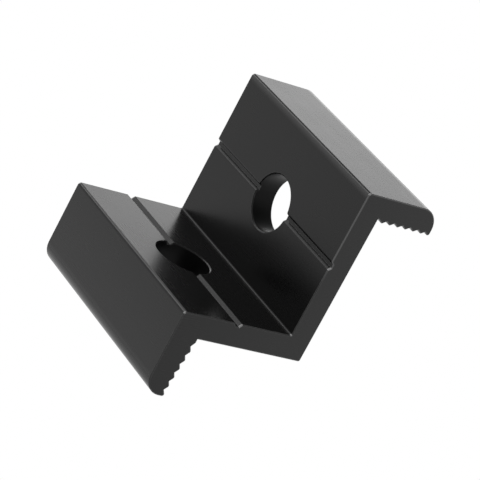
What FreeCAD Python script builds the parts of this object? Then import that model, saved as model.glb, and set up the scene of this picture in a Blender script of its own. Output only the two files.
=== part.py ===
import FreeCAD, Part

import math
import os
import re

import Sketcher

# Two-height end clamp for the edge of a solar module.
# One length of extruded aluminium, sawn off and drilled with two bolt holes.
# Two plates meet square, and each one ends in a serrated flange that turns outwards.
# Bolted through the flat plate, the upright plate's jaw holds a tall module frame
# and the flat plate's toe stands on the rail.
# Turned a quarter and bolted through the upright plate, jaw and toe swap for a lower frame.
# Origin: axis of the flat plate's bolt hole, on the face where the bolt head seats.
# +Z points up out of that hole, +X towards the module, and Y runs along the extrusion.

# Driving sizes in millimetres, with the slope of the ridges' flanks in degrees.
# Places on the plates start at their inner corner.
SIZES = {
    "clamp_length": 38.0,
    "wall": 3.9,
    "flat_width": 20.1,
    "upright_height": 25.0,
    "flat_hole": 10.0,
    "upright_hole": 12.2,
    "bolt_hole_diameter": 9.1,
    "upright_guide": 12.35,
    "guide_mouth": 1.35,
    "guide_floor": 0.55,
    "guide_depth": 0.5,
    "guide_round": 0.25,
    "jaw_reach": 10.4,
    "jaw_root": 4.1,
    "jaw_tip": 4.05,
    "jaw_first_ridge": 0.99,
    "toe_drop": 10.2,
    "toe_root": 4.65,
    "toe_tip": 4.0,
    "toe_land": 0.65,
    "toe_first_ridge": 0.8,
    "lip": 0.4,
    "ridge_pitch": 1.55,
    "ridge_height": 0.5,
    "ridge_slope": 34.0,
    "ridge_round": 0.3,
    "tip_round": 3.2,
    "lip_round": 0.3,
    "heel_round": 0.5,
    "corner_round": 0.3,
    "end_break": 0.15,
    "rim_break": 0.15,
}

# Width of a straight flank that rises by the height of a ridge, as at the lip.
FLANK = "(ridge_height / tan(ridge_slope))"
# Half the width of a ridge at its foot, with its round crest.
RIDGE_HALF = f"({FLANK} + ridge_round * tan(ridge_slope / 2))"
# Half the width under the round crest, where the flanks end, and the heights of its centre and ends.
CREST_HALF = "(ridge_round * sin(ridge_slope))"
CREST_CENTRE = "(ridge_height - ridge_round)"
CREST_END = f"({CREST_CENTRE} + ridge_round * cos(ridge_slope))"
# A ridge starts this far below its foot line, so that it fuses with the flange.
RIDGE_SINK = 0.1
# A ridge is first drawn near its place, from these half widths and heights of foot and crest.
START_MIDDLE = 1.0
START_FOOT = 0.9
START_CREST = 0.2
START_RISE = 0.5
START_TOP = 0.6
# Each round is limited by the land or the thickness that it has to fit.
LIP_ROUND = "min(lip_round; 0.75 * lip)"
TIP_FLAT = 0.1
TIP_ROUND = f"min(tip_round; min(jaw_tip; toe_tip) - lip_round - {TIP_FLAT})"
# Corners wait on a ring of this radius until their sizes pull them into place.
START_RING = 20.0
# Two points closer than this are the same point.
SAME_POINT = 0.001

document = FreeCAD.newDocument("end_clamp")
sheet = document.addObject("Spreadsheet::Sheet", "sizes")
for row, (alias, size) in enumerate(SIZES.items(), start=1):
    sheet.set(f"A{row}", alias)
    sheet.set(f"B{row}", str(size))
    sheet.setAlias(f"B{row}", alias)
document.recompute()


def formula(text):
    """Return an expression in which each size name points at its cell."""
    names = "|".join(sorted(SIZES, key=len, reverse=True))
    return re.sub(rf"\b({names})\b", r"sizes.\1", text)


def sketch_on(body, plane_role, name):
    """Add a sketch on one of the body's own origin planes."""
    plane = next(item for item in body.Origin.OriginFeatures if item.Role == plane_role)
    sketch = body.newObject("Sketcher::SketchObject", name)
    sketch.AttachmentSupport = [(plane, "")]
    sketch.MapMode = "FlatFace"
    return sketch


def constrain(sketch, kind, *references, size=None, now=1.0):
    """Add a constraint and, where it has a size, bind it to the sheet from its present value."""
    if size is None:
        sketch.addConstraint(Sketcher.Constraint(kind, *references))
        return
    index = sketch.addConstraint(Sketcher.Constraint(kind, *references, now))
    sketch.setExpression(f"Constraints[{index}]", formula(size))


def place_point(sketch, element, end, across, up):
    """Hold a point at its distances from the sketch's origin."""
    point = sketch.getPoint(element, end)
    if across == "0":
        constrain(sketch, "PointOnObject", element, end, -2)
    else:
        constrain(sketch, "DistanceX", -1, 1, element, end, size=across, now=point.x)
    if up == "0":
        constrain(sketch, "PointOnObject", element, end, -1)
    else:
        constrain(sketch, "DistanceY", -1, 1, element, end, size=up, now=point.y)


def draw_outline(sketch, corners):
    """Draw a closed outline through corners given as pairs of formulas."""
    count = len(corners)
    turns = [2 * math.pi * index / count for index in range(count)]
    ring = [FreeCAD.Vector(math.cos(turn), math.sin(turn), 0) * START_RING for turn in turns]
    for index in range(count):
        sketch.addGeometry(Part.LineSegment(ring[index], ring[(index + 1) % count]), False)
    for index in range(count):
        constrain(sketch, "Coincident", index, 2, (index + 1) % count, 1)
    for index, (across, up) in enumerate(corners):
        place_point(sketch, index, 1, across, up)


def upright_groove():
    """Corners of the drill guide groove along the upright plate, from below."""
    return [
        ("0", "upright_guide - guide_mouth / 2"),
        ("guide_depth", "upright_guide - guide_floor / 2"),
        ("guide_depth", "upright_guide + guide_floor / 2"),
        ("0", "upright_guide + guide_mouth / 2"),
    ]


def flat_groove():
    """Corners of the drill guide groove along the flat plate, towards the inner corner."""
    return [
        ("-flat_hole - guide_mouth / 2", "0"),
        ("-flat_hole - guide_floor / 2", "-guide_depth"),
        ("-flat_hole + guide_floor / 2", "-guide_depth"),
        ("-flat_hole + guide_mouth / 2", "0"),
    ]


def jaw_corners():
    """Corners of the upright plate's jaw, from its heel round its tip to its root."""
    reach = "wall + jaw_reach"
    crest = "upright_height - jaw_tip"
    return [
        ("0", "upright_height"),
        (reach, "upright_height"),
        (reach, crest),
        (f"{reach} - lip", crest),
        (f"{reach} - lip - {FLANK}", f"{crest} + ridge_height"),
        ("wall", "upright_height - jaw_root + ridge_height"),
    ]


def toe_corners():
    """Corners of the flat plate's toe, from its root round its tip to its heel."""
    root = "toe_root - flat_width"
    crest = "toe_tip - flat_width"
    drop = "-wall - toe_drop"
    return [
        (root, "-wall"),
        (root, "-wall - toe_land"),
        (f"{root} - ridge_height", f"-wall - toe_land - {FLANK}"),
        (f"{crest} - ridge_height", f"{drop} + lip + {FLANK}"),
        (crest, f"{drop} + lip"),
        (crest, drop),
        ("-flat_width", drop),
        ("-flat_width", "0"),
    ]


def extrude(body, sketch, name):
    """Extrude a sketch to the clamp's length, half to each side."""
    pad = body.newObject("PartDesign::Pad", name)
    pad.Profile = sketch
    pad.SideType = "Symmetric"
    pad.setExpression("Length", formula("clamp_length"))
    document.recompute()
    return pad


def draw_ridge(sketch, centre, side):
    """Draw a ridge on the sketch's X axis, with its crest to the side given as 1 or -1."""
    sign = "-" if side < 0 else ""
    foot = f"{-side * RIDGE_SINK}"
    feet_half = f"({RIDGE_HALF} + {RIDGE_SINK} / tan(ridge_slope))"
    shoulder = f"{sign}{CREST_END}"
    corners = [
        (f"{centre} - {feet_half}", foot),
        (f"{centre} + {feet_half}", foot),
        (f"{centre} + {CREST_HALF}", shoulder),
        (f"{centre} - {CREST_HALF}", shoulder),
    ]
    start = [
        FreeCAD.Vector(START_MIDDLE - START_FOOT, -side * RIDGE_SINK, 0),
        FreeCAD.Vector(START_MIDDLE + START_FOOT, -side * RIDGE_SINK, 0),
        FreeCAD.Vector(START_MIDDLE + START_CREST, side * START_RISE, 0),
        FreeCAD.Vector(START_MIDDLE - START_CREST, side * START_RISE, 0),
    ]
    for first, second in ((0, 1), (1, 2), (3, 0)):
        sketch.addGeometry(Part.LineSegment(start[first], start[second]), False)
    crest = Part.Arc(start[2], FreeCAD.Vector(START_MIDDLE, side * START_TOP, 0), start[3])
    sketch.addGeometry(crest, False)
    right, left = (1, 2) if side > 0 else (2, 1)
    constrain(sketch, "Coincident", 0, 2, 1, 1)
    constrain(sketch, "Coincident", 2, 2, 0, 1)
    constrain(sketch, "Coincident", 3, right, 1, 2)
    constrain(sketch, "Coincident", 3, left, 2, 1)
    place_point(sketch, 0, 1, *corners[0])
    place_point(sketch, 1, 1, *corners[1])
    place_point(sketch, 1, 2, *corners[2])
    place_point(sketch, 2, 1, *corners[3])
    crest_centre = sketch.getPoint(3, 3)
    constrain(sketch, "DistanceY", -1, 1, 3, 3, size=f"{sign}{CREST_CENTRE}", now=crest_centre.y)


def set_ridges(body, name, foot_start, turn, first, run, side):
    """Extrude the first ridge and repeat it along the flange for as long as its crest clears the lip."""
    sketch = sketch_on(body, "XZ_Plane", f"{name}_ridge_section")
    quarter = FreeCAD.Rotation(FreeCAD.Vector(0, 0, 1), 90)
    sketch.AttachmentOffset = FreeCAD.Placement(FreeCAD.Vector(), quarter)
    sketch.setExpression("AttachmentOffset.Base.x", formula(foot_start[0]))
    sketch.setExpression("AttachmentOffset.Base.y", formula(foot_start[1]))
    sketch.setExpression("AttachmentOffset.Rotation.Angle", formula(turn))
    draw_ridge(sketch, first, side)
    ridge = extrude(body, sketch, f"{name}_ridge")
    pattern = body.newObject("PartDesign::LinearPattern", f"{name}_ridges")
    pattern.Originals = [ridge]
    pattern.Direction = (sketch, ["H_Axis"])
    pattern.Mode = "Spacing"
    pattern.setExpression("Offset", formula("ridge_pitch"))
    spare = f"{run} - {first} - {CREST_HALF}"
    pattern.setExpression("Occurrences", formula(f"floor(({spare}) / ridge_pitch) + 1"))
    body.Tip = pattern
    document.recompute()


def drill(body, plane_role, name, centre, reverse):
    """Drill a bolt hole through the plate that lies behind one of the body's planes."""
    sketch = sketch_on(body, plane_role, f"{name}_circle")
    circle = Part.Circle(FreeCAD.Vector(), FreeCAD.Vector(0, 0, 1), 1.0)
    sketch.addGeometry(circle, False)
    place_point(sketch, 0, 3, *centre)
    constrain(sketch, "Diameter", 0, size="bolt_hole_diameter", now=2.0)
    before = body.Shape.Volume
    pocket = body.newObject("PartDesign::Pocket", name)
    pocket.Profile = sketch
    pocket.Type = "ThroughAll"
    pocket.Reversed = reverse
    document.recompute()
    if pocket.Shape.Volume >= before:
        raise RuntimeError(f"{name} cuts nothing")


def edge_names(shape, corners):
    """Names of the long edges that run along Y through the given corners."""
    names = []
    for number, edge in enumerate(shape.Edges, start=1):
        ends = [vertex.Point for vertex in edge.Vertexes]
        if len(ends) != 2 or abs(ends[0].y - ends[1].y) < SAME_POINT:
            continue
        for across, up in corners:
            gaps = [math.hypot(end.x - across, end.z - up) for end in ends]
            if max(gaps) < SAME_POINT:
                names.append(f"Edge{number}")
    return names


def round_edges(body, name, radius, corners):
    """Round the long edges through the given corners, and check that each one was found."""
    base = body.Tip
    names = edge_names(base.Shape, corners)
    if len(names) != len(corners):
        raise RuntimeError(f"{name} found {len(names)} of {len(corners)} edges")
    fillet = body.newObject("PartDesign::Fillet", name)
    fillet.Base = (base, names)
    fillet.setExpression("Radius", formula(radius))
    document.recompute()


def break_edges(body, name, size, names):
    """Take a small chamfer off the named edges or the edges of the named faces."""
    base = body.Tip
    chamfer = body.newObject("PartDesign::Chamfer", name)
    chamfer.Base = (base, names)
    chamfer.setExpression("Size", formula(size))
    document.recompute()


def end_faces(body):
    """Names of the two sawn ends."""
    half = sheet.clamp_length / 2
    return [f"Face{number}" for number, face in enumerate(body.Tip.Shape.Faces, start=1)
            if abs(abs(face.CenterOfMass.y) - half) < SAME_POINT]


def rim_edges(body):
    """Names of the bolt holes' rims on the plates' inner faces, clear of the grooves' floors."""
    names = []
    for number, edge in enumerate(body.Tip.Shape.Edges, start=1):
        if not isinstance(edge.Curve, Part.Circle):
            continue
        on_hole = abs(edge.Curve.Radius - sheet.bolt_hole_diameter / 2) < SAME_POINT
        centre = edge.Curve.Center
        on_inner_face = min(abs(centre.x), abs(centre.z)) < SAME_POINT
        if on_hole and on_inner_face:
            names.append(f"Edge{number}")
    return names


def make_end_clamp():
    """Extrude the section, set its ridges, round its edges, drill it and break its edges."""
    body = document.addObject("PartDesign::Body", "end_clamp")
    body.Label = "end_clamp"
    section = sketch_on(body, "XZ_Plane", "section")
    corners = [("0", "0"), *upright_groove(), *jaw_corners(), ("wall", "-wall"),
               *toe_corners(), *flat_groove()]
    draw_outline(section, corners)
    extrude(body, section, "extrusion")

    outer_jaw = sheet.wall + sheet.jaw_reach
    low_toe = -sheet.wall - sheet.toe_drop
    round_edges(body, "tip_rounds", TIP_ROUND,
                [(outer_jaw, sheet.upright_height), (-sheet.flat_width, low_toe)])
    round_edges(body, "lip_rounds", LIP_ROUND,
                [(outer_jaw, sheet.upright_height - sheet.jaw_tip),
                 (sheet.toe_tip - sheet.flat_width, low_toe)])
    round_edges(body, "heel_rounds", "heel_round",
                [(0.0, sheet.upright_height), (-sheet.flat_width, 0.0)])
    round_edges(body, "corner_rounds", "corner_round",
                [(0.0, 0.0), (sheet.wall, -sheet.wall)])

    half_mouth = sheet.guide_mouth / 2
    round_edges(body, "guide_rounds", "guide_round",
                [(0.0, sheet.upright_guide - half_mouth), (0.0, sheet.upright_guide + half_mouth),
                 (-sheet.flat_hole - half_mouth, 0.0), (-sheet.flat_hole + half_mouth, 0.0)])

    jaw_run = f"(jaw_reach - lip - {FLANK})"
    set_ridges(body, "jaw", ("wall", "upright_height - jaw_root + ridge_height"),
               f"atan((jaw_root - jaw_tip) / {jaw_run})", "jaw_first_ridge", jaw_run, -1)
    toe_run = f"(toe_drop - toe_land - lip - 2 * {FLANK})"
    set_ridges(body, "toe", ("toe_root - flat_width - ridge_height",
                             f"-wall - toe_land - {FLANK}"),
               f"270 deg - atan((toe_root - toe_tip) / {toe_run})",
               "toe_first_ridge", toe_run, 1)

    drill(body, "XY_Plane", "flat_bolt_hole", ("-flat_hole", "0"), False)
    drill(body, "YZ_Plane", "upright_bolt_hole", ("0", "upright_hole"), True)
    break_edges(body, "rim_breaks", "rim_break", rim_edges(body))
    break_edges(body, "end_breaks", "end_break", end_faces(body))
    body.setExpression("Placement.Base.x", formula("flat_hole"))
    document.recompute()
    return body


def check_document():
    """Stop if any object of the document failed."""
    for item in document.Objects:
        if "Invalid" in item.State or "Error" in item.State:
            raise RuntimeError(f"{item.Label} failed: {item.State}")


def check_shape(body):
    """Stop if a sub-part isn't one valid solid."""
    shape = body.Shape
    if shape.isNull() or not shape.isValid() or len(shape.Solids) != 1:
        raise RuntimeError(f"{body.Label} is not one valid solid")


end_clamp = make_end_clamp()
check_document()
check_shape(end_clamp)
os.makedirs("parts", exist_ok=True)
end_clamp.Shape.exportStep(f"parts/{end_clamp.Label}.step")
bounds = end_clamp.Shape.BoundBox
print("end_clamp", round(end_clamp.Shape.Volume, 2), "mm3", bounds)
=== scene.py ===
import math

import bpy
from mathutils import Matrix, Vector

# Solar end clamp: one length of extruded aluminium, black anodised.
# It keeps its installed attitude in soft white studio light, over a level white floor.

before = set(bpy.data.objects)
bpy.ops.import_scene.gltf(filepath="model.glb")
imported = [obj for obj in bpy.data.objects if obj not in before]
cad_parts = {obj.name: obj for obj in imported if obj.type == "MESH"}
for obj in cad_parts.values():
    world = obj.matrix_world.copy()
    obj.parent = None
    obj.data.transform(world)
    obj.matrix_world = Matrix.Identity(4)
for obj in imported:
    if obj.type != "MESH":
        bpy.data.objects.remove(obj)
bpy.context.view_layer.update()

# Lengths and places are in millimetres, and MM turns them into metres.
MM = 0.001

# Camera. The clamp keeps its installed attitude, so the camera takes the photograph's roll.
CAMERA_PLACE = (-233.6, -295.9, 128.2)
CAMERA_AIM = (7.72, -0.61, 5.19)
CAMERA_ROLL = 28.22
CAMERA_LENS = 197.6
SENSOR_WIDTH = 36.0
PHOTO_WIDTH = 480
CAMERA_RISE = 0.41 / PHOTO_WIDTH
CAMERA_SIDE = -0.11 / PHOTO_WIDTH

# Floor. It lies far enough below the clamp for the shadow to fall outside the picture.
# The shadow is kept within SHADOW_REACH of the middle, and GLOW_LIMITS are the Y where plain white starts.
FLOOR_HEIGHT = -130.0
FLOOR_SIZE = 8000.0
SHADOW_REACH = (70.0, 150.0)
GLOW_LIMITS = (-120.0, 40.0)
PAPER = "#F4F4F4"
PAPER_ROUGHNESS = 0.9
WHITE = "#FFFFFF"

# Room. It is white towards the far end, dims to NEAR_DIM between the two limits of a direction's Y,
# and dims to CEILING_DIM between the two limits of its Z.
NEAR_LIMITS = (-0.45, 0.25)
NEAR_DIM = 0.45
CEILING_LIMITS = (0.05, 0.6)
CEILING_DIM = 0.45

# Colours of the finish: the dyed skin, the paler sawn ends with painted light from left to right, the worn
# edges, whose colour also paints highlights, and painted glints at the corners.
DYE = "#010101"
DYE_THIN = "#030303"
SAWN_SHADED_LEFT = "#3D3D3D"
SAWN_LIT_RIGHT = "#484848"
WORN_EDGE_AND_HIGHLIGHT = "#727272"
CORNER_GLINT = "#B8B8B8"

# Gloss of the finish. The lines and the clouds take the roughness up and down by the two spreads.
IOR = 1.34
ROUGHNESS = 0.27
LINE_SPREAD = 0.006
CLOUD_SPREAD = 0.01
BORE_ROUGHNESS = 0.38
BUMP_STRENGTH = 0.5
GRAIN_DEPTH = 0.0007
LINE_DEPTH = 0.0003

# Patterns of the finish: their sizes, and the limits of a pattern's value that are taken as low and high.
GRAIN_SIZE = 0.22
CLOUD_SIZE = 7.0
DIE_LINE_WIDTH = 0.45
DIE_LINE_LENGTH = 60.0
SAW_LINE_WIDTH = 0.3
SAW_LINE_LENGTH = 12.0
PATTERN_DETAIL = 3.0
PATTERN_LIMITS = (0.3, 0.7)
PATCH_LIMITS = (0.35, 0.65)

# Places on the clamp, each along the axis that its name ends with.
END_START_Y = 18.84
CORNER_START_Y = 18.72
# The sawn ends' painted light from left to right, the painted highlight on the ends' breaks, the painted
# sheen band by the jaw's heel, the toe's painted light and the painted strip by the toe's heel lie within
# these places.
SAWN_LIGHT_LIMITS_X = (-10.0, 24.0)
END_HIGHLIGHT_Z = (9.0, 13.0)
JAW_HEEL_Z = (23.7, 25.1)
TOE_FACE_X = -10.05
TOE_LIMITS_Z = (0.0, -14.1)
TOE_HEEL_X = (-9.4, -9.62)

# Bores, with None for the way each one runs. The wall lies within BORE_REACH, its rim within RIM_REACH.
FLAT_BORE = (0.0, 0.0, None)
UPRIGHT_BORE = (None, 0.0, 12.2)
BORE_REACH = 4.6
RIM_REACH = 4.75

# Limits of a normal's part along an axis, and for EDGE_TURN along the normal as EDGE_WIDTH rounds it.
END_FACING = 0.95
TOP_FACING = 0.7
LEFT_FACING = -0.6
UPWARD = (-0.25, 0.0)
LEANING = (0.2, 0.5)
EDGE_TURN = (0.995, 0.86)
EDGE_WIDTH = 0.2
EDGE_SAMPLES = 6

# Wear and painted highlights, from 0 for none to 1 for the colour of a worn, lit edge. The edges' wear is
# partly real and partly painted highlight; the ends' breaks, the jaw's heel band, the toe's face and the
# toe's heel strip are painted light only.
PATCH_WEAR = (0.35, 1.0)
RIM_WEAR_AND_HIGHLIGHT = 0.45
END_HIGHLIGHT_SHARE = (0.3, 1.0)
JAW_HEEL_SHEEN = 0.45
TOE_LIGHTENING = (0.045, 0.125)
TOE_HEEL_HIGHLIGHT = 0.4


def linear(code):
    """Turn an sRGB hex colour into linear red, green, blue and alpha."""
    parts = [int(code[start:start + 2], 16) / 255 for start in (1, 3, 5)]
    return [part / 12.92 if part <= 0.04045 else ((part + 0.055) / 1.055) ** 2.4 for part in parts] + [1.0]


def add_node(tree, kind, settings=None, **links):
    """Add a node, set its attributes and inputs, and link others into it.

    An input goes by its name or number, with n before the number in links. A node that is linked
    stands for its first output. Math has its second value at 1, and Map Range the limits of what it
    takes at 1 and 2, of what it gives at 3 and 4. Mix has its ends at 2 and 3, or 6 and 7 for colours,
    and gives a colour at output 2.
    """
    node = tree.nodes.new(kind)
    for name, value in (settings or {}).items():
        if hasattr(node, name):
            setattr(node, name, value)
        else:
            node.inputs[int(name) if name.isdigit() else name].default_value = value
    for name, source in links.items():
        key = int(name[1:]) if name[1:].isdigit() else name
        socket = source.outputs[0] if hasattr(source, "outputs") else source
        tree.links.new(socket, node.inputs[key])
    return node


def line_pattern(tree, place, sizes):
    """Noise drawn out into lines, with its size along X, Y and Z in millimetres."""
    stretch = [1 / (size * MM) for size in sizes]
    spread = add_node(tree, "ShaderNodeVectorMath", {"operation": "MULTIPLY", "1": stretch}, n0=place)
    return add_node(tree, "ShaderNodeTexNoise", {"Scale": 1.0, "Detail": PATTERN_DETAIL}, Vector=spread)


def around_bore(tree, place, axis, reach):
    """Mask within reach of a bore's axis."""
    across = [0.0 if part is None else 1.0 for part in axis]
    middle = [(part or 0.0) * MM for part in axis]
    offset = add_node(tree, "ShaderNodeVectorMath", {"operation": "SUBTRACT", "1": middle}, n0=place)
    radial = add_node(tree, "ShaderNodeVectorMath", {"operation": "MULTIPLY", "1": across}, n0=offset)
    distance = add_node(tree, "ShaderNodeVectorMath", {"operation": "LENGTH"}, n0=radial).outputs["Value"]
    return add_node(tree, "ShaderNodeMath", {"operation": "LESS_THAN", "1": reach * MM}, n0=distance)


def edge_wear_and_highlight(tree, place, facing, turn, grain):
    """Wear and painted highlight where a slightly rounded normal turns away from the true one, painted only
    on edges that don't look down, where the light falls.

    It is patchy, and weaker on the rim of the flat plate's hole.
    """
    rounded = add_node(tree, "ShaderNodeBevel", {"samples": EDGE_SAMPLES, "Radius": EDGE_WIDTH * MM})
    turned = add_node(tree, "ShaderNodeVectorMath", {"operation": "DOT_PRODUCT"}, n0=rounded, n1=facing)
    edge = add_node(tree, "ShaderNodeMapRange", {"1": EDGE_TURN[0], "2": EDGE_TURN[1]},
                    n0=turned.outputs["Value"])
    patches = {"1": PATCH_LIMITS[0], "2": PATCH_LIMITS[1], "3": PATCH_WEAR[0], "4": PATCH_WEAR[1]}
    patchy = add_node(tree, "ShaderNodeMapRange", patches, n0=grain)
    # Painted highlight: only edges that don't look down get it.
    upward = add_node(tree, "ShaderNodeMapRange", {"1": UPWARD[0], "2": UPWARD[1]}, n0=turn.outputs["Z"])
    rim = around_bore(tree, place, FLAT_BORE, RIM_REACH)
    rim_dimmed = add_node(tree, "ShaderNodeMapRange", {"3": 1.0, "4": RIM_WEAR_AND_HIGHLIGHT}, n0=rim)
    wear_and_highlight = edge
    for share in (upward, patchy, rim_dimmed):
        wear_and_highlight = add_node(tree, "ShaderNodeMath", {"operation": "MULTIPLY"}, n0=wear_and_highlight, n1=share)
    return wear_and_highlight


def end_break_highlight(tree, spot, at_end, sawn):
    """Painted highlight on the edge breaks of the ends, brightest high up."""
    broken = add_node(tree, "ShaderNodeMath", {"operation": "SUBTRACT"}, n0=at_end, n1=sawn)
    low, top = END_HIGHLIGHT_Z
    limits = {"1": low * MM, "2": top * MM, "3": END_HIGHLIGHT_SHARE[0], "4": END_HIGHLIGHT_SHARE[1]}
    high = add_node(tree, "ShaderNodeMapRange", limits, n0=spot.outputs["Z"])
    return add_node(tree, "ShaderNodeMath", {"operation": "MULTIPLY"}, n0=broken, n1=high)


def jaw_heel_sheen(tree, spot, turn):
    """Painted sheen: a soft paler band at the top of the upright's inner face, by the jaw's heel."""
    low, top = JAW_HEEL_Z
    limits = {"interpolation_type": "SMOOTHSTEP", "1": low * MM, "2": top * MM, "4": JAW_HEEL_SHEEN}
    rise = add_node(tree, "ShaderNodeMapRange", limits, n0=spot.outputs["Z"])
    facing_left = {"operation": "LESS_THAN", "1": LEFT_FACING}
    left = add_node(tree, "ShaderNodeMath", facing_left, n0=turn.outputs["X"])
    return add_node(tree, "ShaderNodeMath", {"operation": "MULTIPLY"}, n0=rise, n1=left)


def toe_face_lightening(tree, spot):
    """Painted light: the toe's outer face is slightly paler towards its tip."""
    start, tip = TOE_LIMITS_Z
    limits = {"1": start * MM, "2": tip * MM, "3": TOE_LIGHTENING[0], "4": TOE_LIGHTENING[1]}
    lower = add_node(tree, "ShaderNodeMapRange", limits, n0=spot.outputs["Z"])
    on_face = {"operation": "LESS_THAN", "1": TOE_FACE_X * MM}
    beside = add_node(tree, "ShaderNodeMath", on_face, n0=spot.outputs["X"])
    return add_node(tree, "ShaderNodeMath", {"operation": "MULTIPLY"}, n0=lower, n1=beside)


def toe_heel_highlight(tree, spot, turn):
    """Painted highlight: a narrow paler strip on the flat plate's top beside the toe's rounded edge."""
    limits = {"1": TOE_HEEL_X[0] * MM, "2": TOE_HEEL_X[1] * MM, "4": TOE_HEEL_HIGHLIGHT}
    strip = add_node(tree, "ShaderNodeMapRange", limits, n0=spot.outputs["X"])
    facing_up = {"operation": "GREATER_THAN", "1": TOP_FACING}
    level = add_node(tree, "ShaderNodeMath", facing_up, n0=turn.outputs["Z"])
    return add_node(tree, "ShaderNodeMath", {"operation": "MULTIPLY"}, n0=strip, n1=level)


def corner_glints(tree, turn, along):
    """Mask of painted glints on the ends' corners, where a round that looks up and outwards runs out."""
    outer = add_node(tree, "ShaderNodeMath", {"operation": "MULTIPLY", "1": -1.0}, n0=turn.outputs["X"])
    slant = add_node(tree, "ShaderNodeMath", {"operation": "MINIMUM"}, n0=outer, n1=turn.outputs["Z"])
    leaning = add_node(tree, "ShaderNodeMapRange", {"1": LEANING[0], "2": LEANING[1]}, n0=slant)
    tip = add_node(tree, "ShaderNodeMath", {"operation": "GREATER_THAN", "1": CORNER_START_Y * MM}, n0=along)
    return add_node(tree, "ShaderNodeMath", {"operation": "MULTIPLY"}, n0=leaning, n1=tip)


def skin_colour(tree, spot, clouds, sawn):
    """Black dye that varies a little in clouds, and the paler grey of the sawn ends, with painted light from
    left to right.
    """
    dyes = {"data_type": "RGBA", "6": linear(DYE), "7": linear(DYE_THIN)}
    dye = add_node(tree, "ShaderNodeMix", dyes, n0=clouds)
    limits = {"1": SAWN_LIGHT_LIMITS_X[0] * MM, "2": SAWN_LIGHT_LIMITS_X[1] * MM}
    sideways = add_node(tree, "ShaderNodeMapRange", limits, n0=spot.outputs["X"])
    greys = {"data_type": "RGBA", "6": linear(SAWN_SHADED_LEFT), "7": linear(SAWN_LIT_RIGHT)}
    sawn_lit = add_node(tree, "ShaderNodeMix", greys, n0=sideways)
    skin = add_node(tree, "ShaderNodeMix", {"data_type": "RGBA"}, n0=sawn, n6=dye.outputs[2],
                    n7=sawn_lit.outputs[2])
    return skin.outputs[2]


def surface_roughness(tree, place, lines, clouds):
    """Satin roughness that follows the lines and the clouds, and duller in the drilled bores."""
    low, high = PATTERN_LIMITS
    by_line = {"1": low, "2": high, "3": ROUGHNESS - LINE_SPREAD, "4": ROUGHNESS + LINE_SPREAD}
    satin = add_node(tree, "ShaderNodeMapRange", by_line, n0=lines)
    by_cloud = {"1": low, "2": high, "3": -CLOUD_SPREAD, "4": CLOUD_SPREAD}
    gloss = add_node(tree, "ShaderNodeMapRange", by_cloud, n0=clouds)
    rough = add_node(tree, "ShaderNodeMath", {"operation": "ADD"}, n0=satin, n1=gloss)
    down = around_bore(tree, place, FLAT_BORE, BORE_REACH)
    through = around_bore(tree, place, UPRIGHT_BORE, BORE_REACH)
    bored = add_node(tree, "ShaderNodeMath", {"operation": "MAXIMUM"}, n0=down, n1=through)
    return add_node(tree, "ShaderNodeMix", {"data_type": "FLOAT", "3": BORE_ROUGHNESS}, n0=bored, n2=rough)


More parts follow.
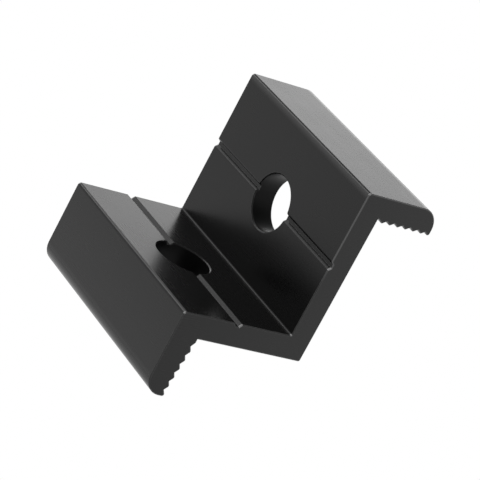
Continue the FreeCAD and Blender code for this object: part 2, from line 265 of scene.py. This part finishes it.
def anodised_aluminium():
    """Extruded aluminium, satin etched, anodised and dyed black.

    The dyed oxide is a clear hard skin over a dark body: grey where it faces a light at a low angle and
    nearly black elsewhere. Faint die lines run along the extrusion, the saw left finer ones across the
    cut ends, and the skin is thinner and paler on the edges. Painted highlights on the edges, a painted
    sheen band, painted light on the toe and the sawn ends, and painted glints at the corners are in its
    colour too.
    """
    material = bpy.data.materials.new("black_anodised_extrusion")
    material.use_nodes = True
    tree = material.node_tree
    shader = tree.nodes["Principled BSDF"]
    shader.inputs["Metallic"].default_value = 0.0
    shader.inputs["IOR"].default_value = IOR

    place = add_node(tree, "ShaderNodeTexCoord").outputs["Object"]
    facing = add_node(tree, "ShaderNodeNewGeometry").outputs["True Normal"]
    spot = add_node(tree, "ShaderNodeSeparateXYZ", n0=place)
    turn = add_node(tree, "ShaderNodeSeparateXYZ", n0=facing)
    grain = line_pattern(tree, place, (GRAIN_SIZE, GRAIN_SIZE, GRAIN_SIZE))
    clouds = line_pattern(tree, place, (CLOUD_SIZE, CLOUD_SIZE, CLOUD_SIZE))
    die_lines = line_pattern(tree, place, (DIE_LINE_WIDTH, DIE_LINE_LENGTH, DIE_LINE_WIDTH))
    saw_lines = line_pattern(tree, place, (SAW_LINE_LENGTH, SAW_LINE_LENGTH, SAW_LINE_WIDTH))

    # The saw's lines take the place of the die's on the flats of the cut ends.
    along = add_node(tree, "ShaderNodeMath", {"operation": "ABSOLUTE"}, n0=spot.outputs["Y"])
    ends = add_node(tree, "ShaderNodeMath", {"operation": "ABSOLUTE"}, n0=turn.outputs["Y"])
    at_end = add_node(tree, "ShaderNodeMath", {"operation": "GREATER_THAN", "1": END_START_Y * MM}, n0=along)
    flat = add_node(tree, "ShaderNodeMath", {"operation": "GREATER_THAN", "1": END_FACING}, n0=ends)
    sawn = add_node(tree, "ShaderNodeMath", {"operation": "MULTIPLY"}, n0=at_end, n1=flat)
    lines = add_node(tree, "ShaderNodeMix", {"data_type": "FLOAT"}, n0=sawn, n2=die_lines, n3=saw_lines)

    # The strongest of the wear and the painted highlights counts, and the painted corner glints go over
    # whatever it is.
    wear_and_highlight = edge_wear_and_highlight(tree, place, facing, turn, grain)
    for more in (end_break_highlight(tree, spot, at_end, sawn), jaw_heel_sheen(tree, spot, turn),
                 toe_face_lightening(tree, spot), toe_heel_highlight(tree, spot, turn)):
        wear_and_highlight = add_node(tree, "ShaderNodeMath", {"operation": "MAXIMUM"}, n0=wear_and_highlight, n1=more)
    glint = corner_glints(tree, turn, along)
    skin = skin_colour(tree, spot, clouds, sawn)
    worn_and_lit = add_node(tree, "ShaderNodeMix", {"data_type": "RGBA", "7": linear(WORN_EDGE_AND_HIGHLIGHT)}, n0=wear_and_highlight, n6=skin)
    glinting = add_node(tree, "ShaderNodeMix", {"data_type": "RGBA", "7": linear(CORNER_GLINT)}, n0=glint,
                    n6=worn_and_lit.outputs[2])
    tree.links.new(glinting.outputs[2], shader.inputs["Base Color"])

    rough = surface_roughness(tree, place, lines, clouds)
    tree.links.new(rough.outputs[0], shader.inputs["Roughness"])
    fine = {"Strength": BUMP_STRENGTH, "Distance": GRAIN_DEPTH * MM}
    etched = add_node(tree, "ShaderNodeBump", fine, Height=grain)
    shallow = {"Strength": BUMP_STRENGTH, "Distance": LINE_DEPTH * MM}
    drawn = add_node(tree, "ShaderNodeBump", shallow, Height=lines, Normal=etched)
    tree.links.new(drawn.outputs[0], shader.inputs["Normal"])
    return material


def add_camera():
    """Look at the clamp as the photograph does."""
    data = bpy.data.cameras.new("camera")
    data.lens = CAMERA_LENS
    data.sensor_width = SENSOR_WIDTH
    data.shift_x = CAMERA_SIDE
    data.shift_y = CAMERA_RISE
    camera = bpy.data.objects.new("camera", data)
    place = Vector(CAMERA_PLACE) * MM
    aim = Vector(CAMERA_AIM) * MM
    level = (aim - place).to_track_quat("-Z", "Y").to_matrix().to_4x4()
    roll = Matrix.Rotation(math.radians(CAMERA_ROLL), 4, "Z")
    camera.matrix_world = Matrix.Translation(place) @ level @ roll
    bpy.context.scene.collection.objects.link(camera)
    bpy.context.scene.camera = camera


def add_lamp(name, place, width, height, radiance):
    """Add a soft lamp that faces the clamp, as bright as asked where 1 is white."""
    data = bpy.data.lights.new(name, "AREA")
    data.shape = "RECTANGLE"
    data.size = width * MM
    data.size_y = height * MM
    data.energy = radiance * math.pi * width * height * MM * MM
    lamp = bpy.data.objects.new(name, data)
    spot = Vector(place) * MM
    lamp.matrix_world = Matrix.Translation(spot) @ (-spot).to_track_quat("-Z", "Y").to_matrix().to_4x4()
    bpy.context.scene.collection.objects.link(lamp)


def studio_world():
    """A room that is white at its far end and dimmer overhead and on the near side."""
    world = bpy.data.worlds.new("studio")
    bpy.context.scene.world = world
    world.use_nodes = True
    tree = world.node_tree
    background = tree.nodes["Background"]
    way = add_node(tree, "ShaderNodeTexCoord").outputs["Generated"]
    parts = add_node(tree, "ShaderNodeSeparateXYZ", n0=way)
    dim, full = NEAR_LIMITS
    near = {"interpolation_type": "SMOOTHSTEP", "1": dim, "2": full, "3": NEAR_DIM, "4": 1.0}
    across = add_node(tree, "ShaderNodeMapRange", near, n0=parts.outputs["Y"])
    full, dim = CEILING_LIMITS
    high = {"interpolation_type": "SMOOTHSTEP", "1": full, "2": dim, "3": 1.0, "4": CEILING_DIM}
    overhead = add_node(tree, "ShaderNodeMapRange", high, n0=parts.outputs["Z"])
    light = add_node(tree, "ShaderNodeMath", {"operation": "MINIMUM"}, n0=across, n1=overhead)
    background.inputs["Color"].default_value = linear(WHITE)
    tree.links.new(light.outputs[0], background.inputs["Strength"])


def white_paper():
    """White paper sweep: matt, with the clamp's shadow, and plain white beyond it on the far side.

    Only the camera, reflections and clear views see that plain white. The light it throws back is paper's.
    """
    material = bpy.data.materials.new("white_paper_sweep")
    material.use_nodes = True
    tree = material.node_tree
    paper = tree.nodes["Principled BSDF"]
    paper.inputs["Base Color"].default_value = linear(PAPER)
    paper.inputs["Roughness"].default_value = PAPER_ROUGHNESS
    glow = add_node(tree, "ShaderNodeEmission", {"Color": linear(WHITE), "Strength": 1.0})
    place = add_node(tree, "ShaderNodeTexCoord").outputs["Object"]
    reach = add_node(tree, "ShaderNodeVectorMath", {"operation": "LENGTH"}, n0=place).outputs["Value"]
    limits = {"interpolation_type": "SMOOTHSTEP", "1": SHADOW_REACH[0] * MM, "2": SHADOW_REACH[1] * MM}
    clear = add_node(tree, "ShaderNodeMapRange", limits, n0=reach)
    depth = add_node(tree, "ShaderNodeSeparateXYZ", n0=place).outputs["Y"]
    far = {"interpolation_type": "SMOOTHSTEP", "1": GLOW_LIMITS[0] * MM, "2": GLOW_LIMITS[1] * MM}
    behind = add_node(tree, "ShaderNodeMapRange", far, n0=depth)
    beyond = add_node(tree, "ShaderNodeMath", {"operation": "MULTIPLY"}, n0=clear, n1=behind)
    ray = add_node(tree, "ShaderNodeLightPath")
    seen = ray.outputs["Is Camera Ray"]
    for kind in ("Is Glossy Ray", "Is Transmission Ray"):
        seen = add_node(tree, "ShaderNodeMath", {"operation": "MAXIMUM"}, n0=seen, n1=ray.outputs[kind])
    share = add_node(tree, "ShaderNodeMath", {"operation": "MULTIPLY"}, n0=beyond, n1=seen)
    mix = add_node(tree, "ShaderNodeMixShader", n0=share, n1=paper, n2=glow)
    tree.links.new(mix.outputs[0], tree.nodes["Material Output"].inputs["Surface"])
    return material


def add_floor():
    """A level white floor below the clamp."""
    bpy.ops.mesh.primitive_plane_add(size=FLOOR_SIZE * MM, location=(0, 0, FLOOR_HEIGHT * MM))
    floor = bpy.context.object
    floor.name = "floor"
    floor.data.materials.append(white_paper())


bpy.context.scene.view_settings.view_transform = "Standard"
studio_world()
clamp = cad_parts["end_clamp"]
clamp.data.materials[0] = anodised_aluminium()
add_camera()
add_floor()
add_lamp("back_softbox", place=(200, 575, 140), width=700, height=220, radiance=1.15)
add_lamp("left_back_softbox", place=(-190, 460, 375), width=300, height=300, radiance=2.0)
